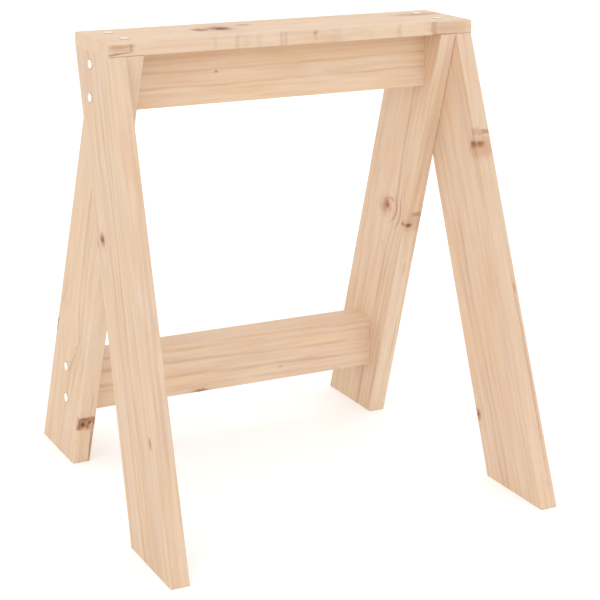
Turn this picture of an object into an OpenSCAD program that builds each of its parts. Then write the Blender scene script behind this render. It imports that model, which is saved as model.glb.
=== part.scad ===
// Knock-down timber sawhorse: four crossed legs, a top board, a rail and a stretcher.
// Origin: centre of the footprint, on the floor. X runs along the top board, -Y is the front.
// The front legs are the outer layer at each end. The rear legs are lapped inside them,
// and the rail and the stretcher span between the rear legs.

/* [Overall] */
// Height of the working surface above the floor
height = 600; // [450:5:900]
// Length of the top board, over the outer legs
length = 554; // [400:2:1200]
// Lean of each leg from upright, in degrees
leg_angle = 16; // [12:0.5:20]

/* [Boards] */
// Width of a leg board
leg_w = 100; // [90:1:140]
// Thickness of a leg board
leg_t = 25; // [20:1:35]
// Thickness of the top board
top_t = 18; // [16:1:28]
// Height of the rail under the top board
rail_h = 77; // [66:1:100]
// Thickness of the rail
rail_t = 35; // [28:1:45]
// How far the rail sits behind the middle of the top board
rail_shift = 4; // [0:1:8]
// Height of the stretcher's section
stretcher_h = 69; // [62:1:90]
// Thickness of the stretcher
stretcher_t = 42; // [30:1:50]
// Height of the stretcher's underside above the floor
stretcher_z = 69; // [40:1:160]
// Radius of the eased long edges of every board
edge_r = 1.6; // [0.8:0.2:4]

/* [Fasteners] */
// Distance between the two screws of a pair in the rail or the stretcher
pair_spacing = 43; // [34:1:44]
// Distance from the end of the top board to its screws
top_screw_inset = 35; // [33:1:42]
// Distance between the two screws at one end of the top board
top_screw_spacing = 48; // [44:1:56]
// Outer diameter of a screw's thread and shank
screw_d = 6; // [5:0.5:6.5]
// Length of the screws that reach the rail through both legs
long_screw = 80; // [75:1:90]
// Length of the screws in the stretcher and the top board
short_screw = 60; // [50:1:65]
// Diameter of a cover cap
cap_d = 12; // [12:0.5:14]
// How far a cover cap stands out of the board
cap_proud = 0.9; // [0.6:0.1:2]

/* [Hidden] */

$fn = 48;
LEFT = -1;
RIGHT = 1;
FRONT = -1;
REAR = 1;

pine = "#e6c9a6";
pine_light = "#edd5b5";
pine_dark = "#d9b78f";
zinc = "#b9bcc0";
cap_white = "#f4efe4";

// A leg stops under the top board, where its sloping cut is as wide as the board
leg_top = height - top_t;
top_w = leg_w / cos(leg_angle);
lean = tan(leg_angle);
// Enough spare length on a leg blank to reach past both level cuts
cut_spare = leg_w * lean;

// Two thicknesses of leg board stand at each end
span = length - 4 * leg_t;

rail_mid_z = leg_top - rail_h / 2;
stretcher_mid_z = stretcher_z + stretcher_h / 2;
stretcher_y = (leg_top - stretcher_mid_z) * lean;

// Screw and cap details
head_d = 10;
head_h = 3.2;
core_d = 4.4;
thread_pitch = 2.5;
thread_share = 0.55;
tip_h = 5;
// Width of the small flat that the screw's point ends in
tip_flat = 0.6;
socket_af = 4;
socket_h = 2.6;
bore_gap = 0.4;
cap_gap = 0.8;
cap_seat_h = 1.6;
// Width and height of the slope round a cap's face
cap_edge = 0.5;
cap_edge_h = cap_proud - cap_edge;
peg_gap = 0.3;
peg_h = 2.2;
// Spare length that carries a cutter cleanly through a face
past = 1;

// ---------- boards ----------

// Section of a board with its four corners rounded, wide along X and deep along Y
module board_section(wide, deep) {
    square([wide - 2 * edge_r, deep], center = true);
    square([wide, deep - 2 * edge_r], center = true);
    for (x = [-1, 1], y = [-1, 1])
        translate([x * (wide / 2 - edge_r), y * (deep / 2 - edge_r)])
            circle(r = edge_r);
}

// Board that stands upright from the origin
module upright(long, wide, deep) {
    linear_extrude(height = long)
        board_section(wide, deep);
}

// Board that lies along X with its middle at the origin
module beam(long, tall, deep) {
    translate([-long / 2, 0, 0])
        rotate([0, 90, 0])
            upright(long, tall, deep);
}

// Leaning leg with level cuts top and bottom. side picks the end, way picks the lean,
// and layer 0 is the outer board at that end, layer 1 the inner one.
module leg(side, way, layer) {
    blank = leg_top / cos(leg_angle) + 2 * cut_spare;
    x = side * (length / 2 - leg_t * (layer + 0.5));
    intersection() {
        translate([x, 0, leg_top])
            rotate([way * leg_angle, 0, 0])
                translate([0, 0, cut_spare - blank])
                    upright(blank, leg_t, leg_w);
        translate([x - leg_t, -height, 0])
            cube([2 * leg_t, 2 * height, leg_top]);
    }
}

// ---------- fasteners and their holes, along Z with the board's face at z = 0 ----------

// Countersunk connector screw with a hex socket. Its head lies just under a cap's seat.
module screw(long) {
    shank_h = long * (1 - thread_share);
    turns = floor((long * thread_share - tip_h) / thread_pitch);
    thread_top = -shank_h;
    thread_end = thread_top - turns * thread_pitch;
    // Each turn has its root a quarter of the way along it and its crest at three quarters
    thread = [
        for (i = [0:turns - 1], step = [1, 3])
            [step == 1 ? core_d / 2 : screw_d / 2, thread_top - (i + step / 4) * thread_pitch]
    ];
    profile = concat(
        [[0, 0], [head_d / 2, 0], [screw_d / 2, -head_h], [screw_d / 2, thread_top]],
        thread,
        [[core_d / 2, thread_end], [tip_flat / 2, -long], [0, -long]]
    );
    color(zinc)
        translate([0, 0, -cap_seat_h])
            difference() {
                rotate_extrude()
                    polygon(profile);
                translate([0, 0, -socket_h])
                    cylinder(d = socket_af / cos(30), h = socket_h + past, $fn = 6);
            }
}

// Hole through the first board: a seat for the cap, a countersink and a clearance bore
module screw_hole(deep) {
    translate([0, 0, -deep])
        cylinder(d = screw_d + bore_gap, h = deep);
    translate([0, 0, -cap_seat_h - head_h])
        cylinder(d1 = screw_d + bore_gap, d2 = head_d + bore_gap, h = head_h);
    translate([0, 0, -cap_seat_h])
        cylinder(d = cap_d + cap_gap, h = cap_seat_h + past);
}

// Hole that the screw's thread bites in, from the depth of the joint down to its tip
module pilot_hole(long) {
    translate([0, 0, -cap_seat_h - long])
        cylinder(d = screw_d, h = long);
}

// Pressed-in cover cap: a disc with a sloped rim, and a peg for the screw's socket
module cap() {
    color(cap_white) {
        translate([0, 0, -cap_seat_h])
            cylinder(d = cap_d, h = cap_seat_h + cap_edge_h);
        translate([0, 0, cap_edge_h])
            cylinder(d1 = cap_d, d2 = cap_d - 2 * cap_edge, h = cap_edge);
        translate([0, 0, -cap_seat_h - peg_h])
            cylinder(d = (socket_af - peg_gap) / cos(30), h = peg_h + past, $fn = 6);
    }
}

// ---------- places where fasteners go ----------

// Children point outwards at one end, on a plane inset from the end of the top board
module at_end(side, inset) {
    mirror([side == LEFT ? 1 : 0, 0, 0])
        translate([length / 2 - inset, 0, 0])
            rotate([0, 90, 0])
                children();
}

// Two places, one above the other, on the end of a board whose middle is at y, z
module pair_at(side, inset, y, z) {
    for (step = [-1, 1])
        at_end(side, inset)
            translate([-z - step * pair_spacing / 2, y, 0])
                children();
}

module rail_pair(side) {
    pair_at(side, 0, rail_shift, rail_mid_z)
        children();
}

module stretcher_pair(side) {
    pair_at(side, leg_t, stretcher_y, stretcher_mid_z)
        children();
}

module top_pair(side) {
    for (step = [-1, 1])
        translate([side * (length / 2 - top_screw_inset), step * top_screw_spacing / 2, height])
            children();
}

// ---------- the pieces ----------

module top_board() {
    color(pine_light)
        difference() {
            translate([0, 0, leg_top + top_t / 2])
                beam(length, top_t, top_w);
            for (side = [LEFT, RIGHT])
                top_pair(side)
                    screw_hole(top_t + past);
        }
}

module front_leg(side) {
    color(pine_light)
        difference() {
            leg(side, FRONT, 0);
            rail_pair(side)
                screw_hole(leg_t + past);
        }
}

module rear_leg(side) {
    color(pine)
        difference() {
            leg(side, REAR, 1);
            rail_pair(side)
                translate([0, 0, -2 * leg_t - past])
                    cylinder(d = screw_d + bore_gap, h = leg_t + 2 * past);
            stretcher_pair(side)
                screw_hole(leg_t + past);
            top_pair(side)
                pilot_hole(short_screw);
        }
}

module top_rail() {
    color(pine_dark)
        difference() {
            translate([0, rail_shift, rail_mid_z])
                beam(span, rail_h, rail_t);
            for (side = [LEFT, RIGHT])
                rail_pair(side)
                    pilot_hole(long_screw);
        }
}

module lower_stretcher() {
    color(pine_dark)
        difference() {
            translate([0, stretcher_y, stretcher_mid_z])
                beam(span, stretcher_h, stretcher_t);
            for (side = [LEFT, RIGHT])
                stretcher_pair(side)
                    pilot_hole(short_screw);
        }
}

top_board();
front_leg(LEFT);  // front_left_leg
front_leg(RIGHT);  // front_right_leg
rear_leg(LEFT);  // rear_left_leg
rear_leg(RIGHT);  // rear_right_leg
top_rail();
lower_stretcher();
top_pair(LEFT) screw(short_screw);  // top_screws_left
top_pair(RIGHT) screw(short_screw);  // top_screws_right
rail_pair(LEFT) screw(long_screw);  // rail_screws_left
rail_pair(RIGHT) screw(long_screw);  // rail_screws_right
stretcher_pair(LEFT) screw(short_screw);  // stretcher_screws_left
stretcher_pair(RIGHT) screw(short_screw);  // stretcher_screws_right
top_pair(LEFT) cap();  // top_caps_left
top_pair(RIGHT) cap();  // top_caps_right
rail_pair(LEFT) cap();  // rail_caps_left
rail_pair(RIGHT) cap();  // rail_caps_right
stretcher_pair(LEFT) cap();  // stretcher_caps_left
stretcher_pair(RIGHT) cap();  // stretcher_caps_right
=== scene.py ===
"""Looks for a pine sawhorse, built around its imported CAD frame.

The scene is in metres. Inside a board, lengths are in millimetres in the board's own axes:
u runs along the grain, v across the face and w through the thickness.
"""
import math
from dataclasses import dataclass

import bpy
from mathutils import Euler, Matrix, Vector


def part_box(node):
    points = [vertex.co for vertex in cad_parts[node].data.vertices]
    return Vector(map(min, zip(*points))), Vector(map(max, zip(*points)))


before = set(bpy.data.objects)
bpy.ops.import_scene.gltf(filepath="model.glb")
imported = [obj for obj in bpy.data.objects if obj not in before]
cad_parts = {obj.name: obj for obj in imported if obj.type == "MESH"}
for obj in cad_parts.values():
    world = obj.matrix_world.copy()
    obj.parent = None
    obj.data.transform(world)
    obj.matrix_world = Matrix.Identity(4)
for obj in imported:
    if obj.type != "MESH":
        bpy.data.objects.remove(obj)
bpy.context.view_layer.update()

MM = 0.001


# ---------- shader arithmetic ----------


class Num:
    """A number in a shader, with arithmetic that adds Math nodes."""

    def __init__(self, shader, socket):
        self.shader = shader
        self.socket = socket

    def __add__(self, other):
        return self.shader.math("ADD", self, other)

    def __sub__(self, other):
        return self.shader.math("SUBTRACT", self, other)

    def __rsub__(self, other):
        return self.shader.math("SUBTRACT", other, self)

    def __mul__(self, other):
        return self.shader.math("MULTIPLY", self, other)

    def __truediv__(self, other):
        return self.shader.math("DIVIDE", self, other)

    __radd__ = __add__
    __rmul__ = __mul__


class Shader:
    """One material's node tree, with short calls for the nodes that it uses."""

    def __init__(self, name):
        self.material = bpy.data.materials.new(name)
        self.material.use_nodes = True
        self.tree = self.material.node_tree
        self.tree.nodes.clear()

    def node(self, kind, **settings):
        made = self.tree.nodes.new(kind)
        for key, value in settings.items():
            setattr(made, key, value)
        return made

    def join(self, value, socket):
        """Feeds a Num, a socket or a constant into a socket."""
        if isinstance(value, Num):
            value = value.socket
        if isinstance(value, bpy.types.NodeSocket):
            self.tree.links.new(value, socket)
        else:
            socket.default_value = value

    def math(self, operation, *values):
        made = self.node("ShaderNodeMath", operation=operation)
        for value, socket in zip(values, made.inputs):
            self.join(value, socket)
        return Num(self, made.outputs[0])

    def point(self, x, y, z):
        made = self.node("ShaderNodeCombineXYZ")
        for value, socket in zip((x, y, z), made.inputs):
            self.join(value, socket)
        return made.outputs[0]

    def noise(self, place, detail=2.0, roughness=0.5):
        """Smooth noise from about -1 to 1, with features one unit across."""
        made = self.node("ShaderNodeTexNoise")
        made.inputs["Scale"].default_value = 1.0
        made.inputs["Detail"].default_value = detail
        made.inputs["Roughness"].default_value = roughness
        self.join(place, made.inputs["Vector"])
        return Num(self, made.outputs["Fac"]) * 2.0 - 1.0

    def random(self, value):
        """A fixed random number from 0 to 1 for each whole value."""
        made = self.node("ShaderNodeTexWhiteNoise", noise_dimensions="1D")
        self.join(value, made.inputs["W"])
        return Num(self, made.outputs["Value"])

    def step(self, value, low, high):
        """Rises smoothly from 0 at low to 1 at high. It falls instead where high is under low."""
        made = self.node("ShaderNodeMapRange", interpolation_type="SMOOTHSTEP")
        self.join(value, made.inputs["Value"])
        self.join(low, made.inputs["From Min"])
        self.join(high, made.inputs["From Max"])
        return Num(self, made.outputs["Result"])

    def facing(self, way):
        """How squarely a face looks along this way or against it, from 0 to 1."""
        made = self.node("ShaderNodeVectorMath", operation="DOT_PRODUCT")
        self.join(self.node("ShaderNodeNewGeometry").outputs["True Normal"], made.inputs[0])
        made.inputs[1].default_value = way
        return self.math("ABSOLUTE", Num(self, made.outputs["Value"]))

    def mix(self, share, low, high):
        made = self.node("ShaderNodeMix", data_type="RGBA", clamp_factor=True)
        self.join(share, made.inputs["Factor"])
        self.join(low, made.inputs["A"])
        self.join(high, made.inputs["B"])
        return made.outputs["Result"]

    def tint(self, colour, tone):
        """A colour made lighter or darker in each channel."""
        made = self.node("ShaderNodeMix", data_type="RGBA", blend_type="MULTIPLY")
        made.inputs["Factor"].default_value = 1.0
        self.join(colour, made.inputs["A"])
        made.inputs["B"].default_value = (*tone, 1.0)
        return made.outputs["Result"]

    def bump(self, height, depth_mm):
        made = self.node("ShaderNodeBump")
        made.inputs["Distance"].default_value = depth_mm * MM
        self.join(height, made.inputs["Height"])
        return made.outputs["Normal"]

    def finish(self, colour, roughness, normal, metallic=0.0, specular=0.4, glow=0.0):
        surface = self.node("ShaderNodeBsdfPrincipled")
        self.join(colour, surface.inputs["Base Color"])
        self.join(roughness, surface.inputs["Roughness"])
        self.join(normal, surface.inputs["Normal"])
        surface.inputs["Metallic"].default_value = metallic
        surface.inputs["Specular IOR Level"].default_value = specular
        surface.inputs["Emission Color"].default_value = (1, 1, 1, 1)
        self.join(glow, surface.inputs["Emission Strength"])
        output = self.node("ShaderNodeOutputMaterial")
        self.tree.links.new(surface.outputs["BSDF"], output.inputs["Surface"])
        return self.material


def linear(red, green, blue):
    """A colour from 0 to 255 in each channel, as linear light."""
    def channel(value):
        value = value / 255
        return value / 12.92 if value <= 0.04045 else ((value + 0.055) / 1.055) ** 2.4
    return (channel(red), channel(green), channel(blue), 1.0)


# ---------- boards and their own axes ----------


@dataclass
class Board:
    """A board's own axes. The origin is in the middle of its section at one end.

    along is the way u runs and across the way v runs. edge is the v of its first edge,
    and face is the w of its first face.
    """

    node: str
    origin: Vector
    along: Vector
    across: Vector
    edge: float
    face: float

    def coordinates(self, shader):
        """(u, v, w) in millimetres as Nums."""
        through = self.along.cross(self.across)
        turn = Matrix((self.along, self.across, through))
        mapping = shader.node("ShaderNodeMapping", vector_type="POINT")
        mapping.inputs["Scale"].default_value = (1 / MM,) * 3
        mapping.inputs["Rotation"].default_value = turn.to_euler()
        mapping.inputs["Location"].default_value = -(turn @ self.origin) / MM
        place = shader.node("ShaderNodeTexCoord")
        shader.join(place.outputs["Object"], mapping.inputs["Vector"])
        split = shader.node("ShaderNodeSeparateXYZ")
        shader.join(mapping.outputs["Vector"], split.inputs[0])
        return [Num(shader, socket) for socket in split.outputs]

    def end_grain(self, shader):
        """1 where a face cuts across the fibres, and 0 along them."""
        return shader.step(shader.facing(self.along), 0.7, 0.95)


def beam(node, across):
    """A board that lies along X. u runs to the right."""
    low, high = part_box(node)
    middle = (low + high) / 2
    half = (high - low) / 2 / MM
    along = Vector((1, 0, 0))
    half_width = abs(half.dot(across))
    half_thickness = abs(half.dot(along.cross(across)))
    return Board(node, Vector((low.x, middle.y, middle.z)), along, across, -half_width, -half_thickness)


def flat_beam(node):
    """A beam on its wide face. v runs to the rear and w up."""
    return beam(node, Vector((0, 1, 0)))


def upright_beam(node):
    """A beam on its narrow edge. v runs down and w to the rear."""
    return beam(node, Vector((0, 0, -1)))


def leg(node, way):
    """A leg that leans to the front (way -1) or the rear (way 1).

    u runs down it from its top, v to the rear and w to the right.
    """
    low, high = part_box(node)
    top_low, top_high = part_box("top_board")
    level_cut = top_high.y - top_low.y
    lean = math.atan((high.y - low.y - level_cut) / (high.z - low.z))
    origin = Vector(((low.x + high.x) / 2, 0, high.z))
    along = Vector((0, way * math.sin(lean), -math.cos(lean)))
    across = Vector((0, math.cos(lean), way * math.sin(lean)))
    half_width = level_cut * math.cos(lean) / 2 / MM
    half_thickness = (high.x - low.x) / 2 / MM
    return Board(node, origin, along, across, -half_width, -half_thickness)


# ---------- wood ----------

EARLY = linear(223, 196, 170)
LATE = linear(186, 148, 116)
ROSE = linear(222, 186, 160)
STRAW = linear(224, 199, 165)
HONEY = linear(224, 186, 146)
CREAM = linear(222, 199, 182)
# Painted shade, for faces that lie in shade
PAINTED_SHADE_TAN = linear(203, 172, 142)
# Painted light, for faces that the light leaves paler
PAINTED_LIGHT = linear(238, 216, 192)
ROSE_DARK = linear(204, 152, 118)
HEARTWOOD = linear(160, 108, 74)
BARK = linear(96, 60, 38)
CHAR = linear(50, 30, 18)

# Ways that a knot's axis can run in its board
THROUGH = (0, 0, 1)
ACROSS = (0, 1, 0)
TO_CORNER = (0, 5, -6)

# How far each kind of figure in the wood runs along u, v and w
WAVE = (300, 120, 80)
SWELL = (240, 80, 60)
CALM = (130, 22, 22)
FADE = (110, 40, 40)
DRIFT = (110, 34, 34)
WARMTH = (90, 28, 28)
RIPPLE = (50, 18, 18)
STREAK = (100, 5.5, 5.5)
FIBRE = (70, 1.3, 1.3)
KNOT_FLESH = (14, 10, 10)
KNOT_BORDER = (9, 9, 9)
MARK_BORDER = (9, 5, 5)
RESIN = (6, 0.7, 0.7)

# Rings crowd and spread again over about this length, measured out from the pith
CROWDING = 34

# Depth of the planed surface's grain
GRAIN_DEPTH = 0.12


@dataclass
class Knot:
    """Where a branch once left the trunk. u, v, w is a point on its axis, and side is the way the axis runs.

    The knot ends at its reach from that point. stretch draws it out along the grain, and push is how
    hard it bends the rings. core is the share of its size that the dark heart takes up, and dark, red
    and halo are the strengths of the heart, the flesh and the glow round it.
    """

    u: float
    v: float
    w: float = 0
    size: float = 8
    side: tuple = THROUGH
    stretch: float = 1.0
    reach: float = 60
    push: float = 1.0
    core: float = 0.7
    dark: float = 0.8
    red: float = 0.6
    halo: float = 0.4


@dataclass
class Ring:
    """A growth ring that shows more than its neighbours. It passes through the point v, w."""

    v: float
    w: float
    dark: float = 0.6
    width: float = 5.0


@dataclass
class Mark:
    """A patch of another colour, with its middle, its half lengths along u, v and w, and its strength.

    slant is how far it climbs along w for each step along u. bow curves a mark that runs along w,
    and arch curves one that runs along u. soft is how wide its border is.
    """

    middle: tuple
    half: tuple
    dark: float = 0.5
    colour: tuple = HEARTWOOD
    slant: float = 0.0
    bow: float = 0.0
    arch: float = 0.0
    oval: bool = False
    soft: float = 1.0


@dataclass
class Timber:
    """The wood that one board was sawn from.

    pith is the v, w place of the trunk's middle, which the growth rings go round. spacing is the width
    of a ring, and contrast how dark its late wood is. slope is how far the grain climbs along v for each
    step along u, and wander how far it strays from that line. tone multiplies the colour.
    """

    board: Board
    pith: tuple
    spacing: float
    seed: int
    contrast: float = 0.6
    slope: float = 0.0
    wander: float = 3.0
    tone: tuple = (1, 1, 1)
    knots: tuple = ()
    rings: tuple = ()
    marks: tuple = ()

    @property
    def shift(self):
        """How far along the noise this board lies. No two boards share a part of it."""
        return self.seed * 37.0


def grain_noise(s, place, lengths, shift, detail=2.0, roughness=0.5):
    """Noise stretched to these lengths along u, v and w."""
    u, v, w = (axis / length for axis, length in zip(place, lengths))
    return s.noise(s.point(u + shift, v, w), detail, roughness)


def stray(s, place, timber):
    """Where the grain lies across and through the board, once slow waves and a short ripple bend it."""
    u, v, w = place
    wave = grain_noise(s, place, WAVE, timber.shift, detail=1.0)
    slow_u, slow_v, slow_w = (axis / length for axis, length in zip(place, SWELL))
    swell = s.noise(s.point(slow_u, slow_v, slow_w + timber.shift), detail=1.0)
    ripple = grain_noise(s, place, RIPPLE, timber.shift, detail=3.0, roughness=0.6)
    across = v - u * timber.slope + wave * 4.0 + ripple * timber.wander
    return across, w + swell * 4.0, ripple


def bend(s, knot, place, across, through, shift):
    """Gives the distance from a knot's axis, how far its reach covers, and the grain places pushed aside."""
    u, v, w = place
    side = Vector(knot.side).normalized()
    du = (u - knot.u) / knot.stretch
    dv = v - knot.v
    dw = w - knot.w
    on_axis = dv * side.y + dw * side.z
    off_v = dv - on_axis * side.y
    off_w = dw - on_axis * side.z
    ragged = grain_noise(s, place, KNOT_BORDER, shift, detail=3.0) * (0.38 * knot.size)
    away = s.math("SQRT", du * du + off_v * off_v + off_w * off_w) + ragged
    near = s.step(s.math("ABSOLUTE", on_axis), knot.reach, knot.reach * 0.7)
    area = knot.push * knot.size * knot.size
    push = near * (1.3 * area) / (away * away + 0.5 * area)
    return away, near, across - off_v * push, through - off_w * push


def grow_knots(s, place, timber, across, through):
    """Lets each knot push the grain round itself, as a stone parts a stream.

    Gives the shares of bark, flesh and glow in each knot, how crowded the grain is, and the grain places.
    """
    cores = []
    crowd = 0.0
    uneven = grain_noise(s, place, KNOT_FLESH, timber.shift) * 0.9 + 0.8
    for knot in timber.knots:
        away, near, across, through = bend(s, knot, place, across, through, timber.shift)
        heart = knot.size * knot.core
        band = s.math("SINE", away * (2 * math.pi / (0.36 * knot.size))) * 0.15 + 0.85
        bark = s.step(away, heart, heart * 0.15) * near * knot.dark
        flesh = s.step(away, knot.size * 1.2, knot.size * 0.75) * near * band * uneven * knot.red
        glow = s.step(away, knot.size * 2.4, knot.size * 0.8) * near * uneven * knot.halo
        cores.append((bark, flesh, glow))
        crowd = s.step(away, knot.size * 4.0, knot.size * 1.2) * near + crowd
    return cores, crowd, across, through


def ring_lines(s, place, timber, across, through):
    """Growth rings: pale early wood that darkens into a thin late line, each ring of its own strength."""
    dv = across - timber.pith[0]
    dw = through - timber.pith[1]
    radius = s.math("SQRT", dv * dv + dw * dw)
    crush = s.noise(s.point(radius / CROWDING + timber.shift, 0.0, 0.0), detail=1.0)
    turns = radius / timber.spacing + crush * 0.9 + timber.shift
    count = s.math("FLOOR", turns)
    part = turns - count

    # Late wood darkens slowly through the ring and stops short at its end
    late = s.step(part, 0.3, 0.85) * s.step(part, 1.0, 0.86)
    strength = s.random(count)
    calm = s.step(grain_noise(s, place, CALM, timber.shift), -0.45, 0.4)
    line = late * (strength * strength * 0.85 + 0.15) * calm * (1.35 * timber.contrast)

    # The rings that show most come and go along the board
    fade = grain_noise(s, place, FADE, timber.shift) * 1.1 + 0.75
    for ring in timber.rings:
        reach = math.hypot(ring.v - timber.pith[0], ring.w - timber.pith[1])
        rise = s.step(radius, reach - ring.width, reach)
        fall = s.step(radius, reach + 0.5 * ring.width, reach)
        line = s.math("MAXIMUM", line, rise * fall * fade * ring.dark)
    return line


def patch(s, mark, place, ragged):
    """1 inside a mark and 0 outside it, with a soft and slightly ragged border."""
    du, dv, dw = (axis - middle for axis, middle in zip(place, mark.middle))
    du = du - dw * dw * mark.bow
    dv = dv - du * du * mark.arch
    dw = dw - du * mark.slant
    away = 0.0
    for offset, half in zip((du, dv, dw), mark.half):
        share = offset / half
        if mark.oval:
            away = share * share + away
        else:
            away = s.math("MAXIMUM", s.math("ABSOLUTE", share), away)
    if mark.oval:
        away = s.math("SQRT", away)
    return s.step(away + ragged, 1.0 + 0.35 * mark.soft, 1.0 - 0.65 * mark.soft)


def clear_colour(s, place, timber, line, fibre, streak, resin):
    """Wood with no knot or mark in it: rings, fibres and a slow drift between warm and pale."""
    drift = grain_noise(s, place, DRIFT, timber.shift)
    warmth = grain_noise(s, place, WARMTH, -timber.shift)
    colour = s.mix(line, EARLY, LATE)
    colour = s.mix(drift * 0.5 + 0.3, colour, ROSE)
    colour = s.mix(warmth * 1.1, colour, HONEY)
    colour = s.mix(warmth * -1.1, colour, CREAM)
    colour = s.mix(streak * 0.5 + 0.25, colour, STRAW)
    colour = s.mix(streak * -0.45 + 0.08, colour, LATE)
    colour = s.mix(fibre * 0.15 + 0.05, colour, LATE)
    return s.mix(resin * 0.12, colour, HEARTWOOD)


def lay_marks(s, place, timber, ripple, colour):
    """Puts each mark over the wood. The marks follow the grain's short ripple."""
    u, v, w = place
    wavy = (u, v, w + ripple * 2.0)
    ragged = grain_noise(s, wavy, MARK_BORDER, timber.shift) * 0.45
    for mark in timber.marks:
        inside = patch(s, mark, wavy, ragged) * mark.dark
        colour = s.mix(inside, colour, mark.colour)
    return colour


def wood(timber):
    """Bare planed pine, grown in three dimensions, so that the grain runs on from face to face."""
    s = Shader("pine_" + timber.board.node)
    place = timber.board.coordinates(s)
    shift = timber.shift
    across, through, ripple = stray(s, place, timber)
    cores, crowd, across, through = grow_knots(s, place, timber, across, through)
    line = ring_lines(s, place, timber, across, through)

    # The lines crowd round knots, and stand out on end grain, where fibres are seen as dots
    end_grain = timber.board.end_grain(s)
    line = line * (crowd * 0.7 + 1.0) * (end_grain * 0.6 + 1.0)
    side_grain = 1.0 - end_grain * 0.75
    fibre = grain_noise(s, place, FIBRE, shift, detail=3.0, roughness=0.6) * side_grain
    streak = grain_noise(s, place, STREAK, shift, detail=4.0) * side_grain
    resin = s.step(grain_noise(s, place, RESIN, shift, detail=0.0), 0.55, 0.75) * side_grain

    colour = clear_colour(s, place, timber, line, fibre, streak, resin)
    colour = lay_marks(s, place, timber, ripple, colour)
    height = line * -0.5 + fibre * 0.35 + resin * -0.4
    roughness = fibre * 0.05 + 0.6 - line * 0.06
    for bark, flesh, glow in cores:
        colour = s.mix(glow, colour, ROSE_DARK)
        colour = s.mix(flesh, colour, HEARTWOOD)
        colour = s.mix(bark, colour, BARK)
        height = height + flesh * 0.8
        roughness = roughness - flesh * 0.12
    return s.finish(s.tint(colour, timber.tone), roughness, s.bump(height, GRAIN_DEPTH), specular=0.25)


# ---------- caps and screws ----------

END_CAP_DARK = linear(240, 236, 222)
END_CAP_LIGHT = linear(250, 247, 238)
TOP_CAP_DARK = linear(230, 216, 192)
TOP_CAP_LIGHT = linear(238, 226, 206)
RIM_SHADE = linear(142, 122, 100)
ZINC_DARK = linear(170, 174, 180)
ZINC_LIGHT = linear(214, 216, 220)


def millimetres(s):
    """A place in the piece, in millimetres."""
    scaled = s.node("ShaderNodeMapping", vector_type="POINT")
    scaled.inputs["Scale"].default_value = (1 / MM,) * 3
    s.join(s.node("ShaderNodeTexCoord").outputs["Object"], scaled.inputs["Vector"])
    return scaled.outputs["Vector"]


def cap_plastic(name, axis, dark, light):
    """Off-white moulded plastic, with painted shade round its rim. axis is the way that the caps face."""
    s = Shader("cap_plastic_" + name)
    speck = s.noise(millimetres(s), detail=3.0)
    rim = s.step(s.facing(axis), 0.9, 0.4)
    colour = s.mix(speck * 0.5 + 0.5, dark, light)
    # Painted shade on the rim faces, which turn away from the axis
    colour = s.mix(rim * 0.85, colour, RIM_SHADE)
    return s.finish(colour, speck * 0.06 + 0.38, s.bump(speck, 0.02), specular=0.5)


def zinc():
    """Bright zinc plate, rougher in patches."""
    s = Shader("zinc")
    speck = s.noise(millimetres(s), detail=4.0)
    colour = s.mix(speck * 0.5 + 0.5, ZINC_DARK, ZINC_LIGHT)
    return s.finish(colour, speck * 0.12 + 0.32, s.bump(speck, 0.03), metallic=1.0, specular=0.5)


# ---------- the boards' own wood ----------

# Ways that a leg can lean
FRONT = -1
REAR = 1


def top_board_wood():
    board = flat_beam("top_board")
    front = board.edge
    top = -board.face
    return wood(Timber(
        board, pith=(170, -30), spacing=5, seed=1, contrast=0.4, tone=(1.02, 1.04, 1.06),
        knots=[Knot(190, 5, size=17, core=1.0, dark=0.95, red=0.7, halo=0.4)],
        marks=[
            # Knots and a soft patch on the top face
            Mark((161, 4, top), (15, 12, 9), 0.85, oval=True),
            Mark((234, 20, top), (13, 6, 9), 0.65, oval=True),
            Mark((510, 17, top), (44, 14, 9), 0.4, oval=True),
            # Dark figure at the left end of the front edge
            Mark((16, front, 1), (18, 3, 5), 0.25),
            Mark((16, front, 3.5), (18, 3, 2.6), 0.32),
            Mark((31, front, 1), (2.5, 3, 6), 0.4),
            Mark((14, front, -5.5), (15, 3, 1.3), 0.75, slant=0.06),
            # Rings that the front edge cuts across
            Mark((152, front, 0), (3, 3, 16), 0.12, bow=-0.02),
            Mark((183, front, 0), (3.5, 3, 16), 0.2, bow=0.03),
            Mark((196, front, 0), (6, 3, 16), 0.08),
            Mark((217, front, 0), (5, 3, 16), 0.1),
            Mark((250, front, 1), (2.8, 3, 14), 0.24),
            Mark((256.5, front, 1), (2.8, 3, 14), 0.24),
            Mark((302, front, 5), (4, 3, 3.5), 0.5, oval=True),
            Mark((302, front, 0), (2.5, 3, 6), 0.15),
            Mark((335, front, 0), (10, 3, 16), 0.1),
            Mark((434, front, 0), (4, 3, 16), 0.2, bow=0.04),
            # Darker right end
            Mark((491, front, 0), (5, 3, 16), 0.38, bow=0.03),
            Mark((516, front, 0), (32, 3, 10), 0.28),
            Mark((508, front, -9), (15, 3, 2), 0.5),
        ],
    ))


def front_left_leg_wood():
    board = leg("front_left_leg", FRONT)
    front = board.edge
    outer = board.face
    return wood(Timber(
        board, pith=(-210, 90), spacing=9, seed=2, tone=(1.0, 1.01, 1.03),
        knots=[
            Knot(233, 32, size=7.5, stretch=1.25, dark=0.75, red=0.7, halo=0.2),
            Knot(465, -38.7, size=3.4, stretch=2.3, dark=0.4, red=0.6, halo=0.1),
        ],
        rings=[
            Ring(-30, outer, 0.5), Ring(-18, outer, 0.6), Ring(-6, outer, 0.9),
            Ring(4, outer, 0.3), Ring(14, outer, 0.9), Ring(42, outer, 0.5),
        ],
        marks=[
            Mark((238, 49, outer), (5, 4, 4), 0.4),
            # Two long rings on the front edge
            Mark((332, front, 3), (280, 3, 3), 0.15, slant=-0.012),
            Mark((432, front, -6), (180, 3, 2.6), 0.1, slant=-0.01),
        ],
    ))


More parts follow.
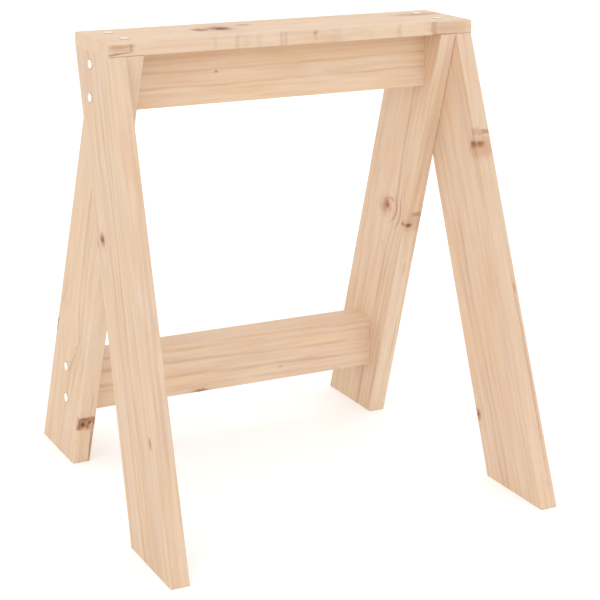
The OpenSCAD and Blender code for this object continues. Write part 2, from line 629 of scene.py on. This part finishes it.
def front_right_leg_wood():
    board = leg("front_right_leg", FRONT)
    front = board.edge
    inner = board.face
    return wood(Timber(
        board, pith=(190, 150), spacing=9, seed=3, contrast=0.5, slope=-0.03, wander=4.5,
        tone=(1.03, 1.05, 1.08),
        knots=[
            Knot(164, front, -6.5, size=5.5, side=TO_CORNER, push=1.8, core=1.05, dark=0.85, red=0.7),
            Knot(171, -44, inner, size=5, side=TO_CORNER, push=0, dark=0, red=0, halo=0.5),
            Knot(514, 46, size=5.5, stretch=1.5, dark=0.75, red=0.8, halo=0.3),
        ],
        rings=[Ring(-42, inner, 0.5), Ring(0, inner, 0.3), Ring(24, inner, 0.9), Ring(36, inner, 0.7)],
        marks=[
            # Stain above the knot at the corner, and its glow on both faces
            Mark((148, front, 6), (3.4, 4, 9), 0.9),
            Mark((147, front, -9), (6, 5, 7), 0.5),
            Mark((167, front, 1), (17, 6, 13), 0.42, oval=True),
            Mark((169, -47, inner), (17, 11, 5), 0.32, oval=True),
            # The whole front edge darkened with painted shade, then a line and a spot on it
            Mark((302, front, 0), (330, 3, 20), 0.35, PAINTED_SHADE_TAN),
            Mark((452, front, 6.5), (150, 3, 1.7), 0.35),
            Mark((352, front, 8), (6, 3, 2), 0.4),
        ],
    ))


def rear_left_leg_wood():
    board = leg("rear_left_leg", REAR)
    front = board.edge
    outer = board.face
    return wood(Timber(
        board, pith=(-150, 90), spacing=10, seed=4, contrast=0.35, tone=(1.01, 1.02, 1.03),
        knots=[
            Knot(417, 10, outer, size=24, reach=18, dark=0, red=0, halo=0),
            Knot(528, front, 1, size=10, side=ACROSS, reach=10, dark=0, red=0.15, halo=0.25),
        ],
        rings=[Ring(-2, outer, 1.1, 4.5), Ring(-14, outer, 0.5), Ring(30, outer, 0.4)],
        marks=[
            Mark((436, 51, outer), (10, 5, 5), 0.9, BARK),
            # The whole front edge is paler with painted light
            Mark((302, front, 0), (330, 3, 20), 0.25, PAINTED_LIGHT),
            # Dead knot with bark in it
            Mark((529, front, 0), (9.5, 4, 13), 0.85, soft=0.7),
            Mark((527, front, -4), (7, 4, 7), 0.45, BARK, oval=True),
            Mark((529, front, -11), (8, 4, 1.6), 0.6, BARK),
            Mark((521.5, front, -2), (1.8, 4, 9), 0.55, BARK),
            Mark((530, front, -5.5), (3.6, 4, 3.8), 1.0, CHAR, oval=True),
            Mark((528, front, 5), (3.4, 4, 2.3), 0.95, CHAR, oval=True),
            Mark((527, front, 11.3), (8, 4, 1.6), 0.7, BARK),
            Mark((535, front, 1.7), (5, 4, 1.6), 0.6, BARK, oval=True),
            Mark((528, front, -0.8), (4, 4, 1.9), 0.5, ROSE_DARK, oval=True),
            Mark((533, front, 7.5), (5.5, 4, 2.4), 0.85, ROSE, oval=True),
            # Lines that run on from it
            Mark((567, front, 9.5), (32, 4, 1.8), 0.7),
            Mark((497, front, 4), (16, 4, 1.0), 0.4),
        ],
    ))


def rear_right_leg_wood():
    board = leg("rear_right_leg", REAR)
    front = board.edge
    inner = board.face
    return wood(Timber(
        board, pith=(170, 120), spacing=10, seed=5, contrast=0.35, tone=(1.05, 1.07, 1.09),
        knots=[
            Knot(274.5, -4.5, size=10, push=1.8, core=0.72, dark=0.9, red=0.5, halo=0.45),
            Knot(282, 2, size=8, push=0, dark=0, red=0.3, halo=0.4),
            Knot(282, front, -7.5, size=6, side=ACROSS, stretch=0.7, reach=10, core=1.05, dark=0.85, red=0.7),
        ],
        rings=[
            Ring(-43, inner, 0.6), Ring(-35, inner, 0.7), Ring(-27, inner, 0.6),
            Ring(-18.5, inner, 1.2), Ring(2, inner, 0.2), Ring(14, inner, 0.3), Ring(38, inner, 0.35),
        ],
        marks=[
            # Bark and crowded rings beside the knot on the inner face
            Mark((260.5, -12, inner), (2.4, 9, 5), 0.5, oval=True),
            Mark((272, -26, inner), (22, 2.3, 5), 0.6, arch=0.018),
            Mark((275, -36, inner), (24, 2.2, 5), 0.4, arch=0.014),
            Mark((335, -8, inner), (6, 2.5, 5), 0.2, oval=True),
            # Front edge
            Mark((278, front, 2), (18, 4, 12), 0.3, oval=True),
            # Painted light makes the lower part of the front edge paler
            Mark((452, front, 0), (170, 3, 20), 0.3, PAINTED_LIGHT),
            Mark((265, front, 3), (3.5, 4, 8), 0.55),
            # Painted shade along the corner where the front edge meets the front right leg
            Mark((274, front, 11), (22, 4, 1.5), 0.45),
            Mark((472, front, 5), (40, 3, 1.2), 0.3),
            Mark((352, front, 0), (8, 3, 1.5), 0.3),
        ],
    ))


def top_rail_wood():
    board = upright_beam("top_rail")
    front = board.face
    return wood(Timber(
        board, pith=(-230, 90), spacing=12, seed=6, contrast=0.3, slope=-0.005, wander=1.8,
        tone=(1.05, 1.06, 1.06),
        knots=[Knot(124, -3.5, front, size=2, stretch=1.5, dark=0.4, red=0.5, halo=0.1)],
        rings=[Ring(-24, front, 0.7, 7), Ring(-6, front, 1.3, 3.5), Ring(14, front, 1.2, 3.5)],
        # Painted shade: the upper part of the front face, under the top board, is darker and warmer
        marks=[Mark((227, -20, front), (260, 13, 8), 0.3, HONEY)],
    ))


def lower_stretcher_wood():
    board = upright_beam("lower_stretcher")
    front = board.face
    return wood(Timber(
        board, pith=(-240, 90), spacing=12, seed=7, contrast=0.4, slope=0.027, wander=2.0,
        tone=(1.08, 1.11, 1.15),
        knots=[
            Knot(302, 16.5, front, size=2.2, stretch=1.6, dark=0.15, red=0.35, halo=0.1),
            Knot(171, 35, front, size=5.5, stretch=2.4, dark=0.8, red=0.8, halo=0.3),
        ],
        rings=[
            Ring(-40, front, 0.8, 4.5), Ring(-31, front, 0.8, 4.5), Ring(-15, front, 1.1, 5),
            Ring(5, front, 1.1, 5), Ring(20, front, 0.4, 4.5),
        ],
        # Painted shade on the top face, which lies under the top board and between the legs
        marks=[Mark((227, board.edge, 0), (260, 2.5, 25), 0.4, PAINTED_SHADE_TAN)],
    ))


# ---------- dressing the frame ----------


def dress(node, material):
    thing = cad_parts[node]
    thing.data.materials.clear()
    thing.data.materials.append(material)


dress("top_board", top_board_wood())
dress("front_left_leg", front_left_leg_wood())
dress("front_right_leg", front_right_leg_wood())
dress("rear_left_leg", rear_left_leg_wood())
dress("rear_right_leg", rear_right_leg_wood())
dress("top_rail", top_rail_wood())
dress("lower_stretcher", lower_stretcher_wood())

end_caps = cap_plastic("end", (1, 0, 0), END_CAP_DARK, END_CAP_LIGHT)
top_caps = cap_plastic("top", (0, 0, 1), TOP_CAP_DARK, TOP_CAP_LIGHT)
metal = zinc()
for side in ("left", "right"):
    dress(f"top_caps_{side}", top_caps)
    dress(f"rail_caps_{side}", end_caps)
    dress(f"stretcher_caps_{side}", end_caps)
    for place in ("top", "rail", "stretcher"):
        dress(f"{place}_screws_{side}", metal)


# ---------- floor, light and camera ----------

FLOOR_GAP = 0.2 * MM
FLOOR_HALF = 40.0
FLOOR_DARK = (0.88, 0.88, 0.88, 1)
FLOOR_LIGHT = (0.9, 0.9, 0.9, 1)
FLOOR_GLOW = 0.2


def floor():
    """A wide pale floor just under the feet, with its horizon far behind the object."""
    half = FLOOR_HALF
    corners = [(-half, -half, 0), (half, -half, 0), (half, half, 0), (-half, half, 0)]
    mesh = bpy.data.meshes.new("floor")
    mesh.from_pydata(corners, [], [(0, 1, 2, 3)])
    thing = bpy.data.objects.new("floor", mesh)
    thing.location.z = -FLOOR_GAP
    bpy.context.scene.collection.objects.link(thing)
    s = Shader("floor")
    place = s.node("ShaderNodeTexCoord").outputs["Object"]
    cloud = s.noise(place, detail=2.0)
    colour = s.mix(cloud * 0.5 + 0.5, FLOOR_DARK, FLOOR_LIGHT)
    # The glow is seen by the camera only, so it doesn't light the object
    seen = Num(s, s.node("ShaderNodeLightPath").outputs["Is Camera Ray"])
    glow = seen * FLOOR_GLOW
    mesh.materials.append(s.finish(colour, 0.9, s.bump(cloud, 0.01), specular=0.0, glow=glow))


def sky(strength):
    """An even white studio on all sides."""
    world = bpy.data.worlds.new("studio")
    world.use_nodes = True
    background = world.node_tree.nodes["Background"]
    background.inputs["Color"].default_value = (1, 1, 1, 1)
    background.inputs["Strength"].default_value = strength
    bpy.context.scene.world = world


def soft_sun(azimuth, elevation, strength, spread):
    """A broad light from far off. Azimuth 0 shines along +Y, and elevation is how high it stands."""
    data = bpy.data.lights.new("soft_sun", "SUN")
    data.energy = strength
    data.angle = math.radians(spread)
    thing = bpy.data.objects.new("soft_sun", data)
    thing.rotation_euler = Euler((math.radians(90 - elevation), 0, math.radians(azimuth)))
    bpy.context.scene.collection.objects.link(thing)


# The camera stands level at the front left, and its lens is shifted down and to the right
CAMERA_PLACE = Vector((-1.067, -1.728, 0.910))
CAMERA_AZIMUTH = 21.0
CAMERA_LENS = 88.6
SENSOR_WIDTH = 36
LENS_SHIFT = (0.501, -0.840)


def keep_shift(camera, channel, amount):
    """Shifts the lens only while the camera stands at its own place, so that other views stay centred."""
    curve = camera.data.driver_add(channel)
    driver = curve.driver
    driver.type = "SCRIPTED"
    for axis in "xyz":
        variable = driver.variables.new()
        variable.name = axis
        variable.type = "SINGLE_PROP"
        variable.targets[0].id = camera
        variable.targets[0].data_path = "location." + axis
    off = " + ".join(f"abs({axis} - {CAMERA_PLACE[i]:.3f})" for i, axis in enumerate("xyz"))
    driver.expression = f"{amount} if {off} < 0.001 else 0.0"


def camera():
    data = bpy.data.cameras.new("camera")
    data.lens = CAMERA_LENS
    data.sensor_width = SENSOR_WIDTH
    thing = bpy.data.objects.new("camera", data)
    thing.location = CAMERA_PLACE
    thing.rotation_euler = Euler((math.radians(90), 0, -math.radians(CAMERA_AZIMUTH)))
    bpy.context.scene.collection.objects.link(thing)
    bpy.context.scene.camera = thing
    keep_shift(thing, "shift_x", LENS_SHIFT[0])
    keep_shift(thing, "shift_y", LENS_SHIFT[1])


floor()
sky(strength=1.1)
soft_sun(azimuth=-47, elevation=28, strength=0.5, spread=60)
camera()
bpy.context.scene.view_settings.view_transform = "Standard"
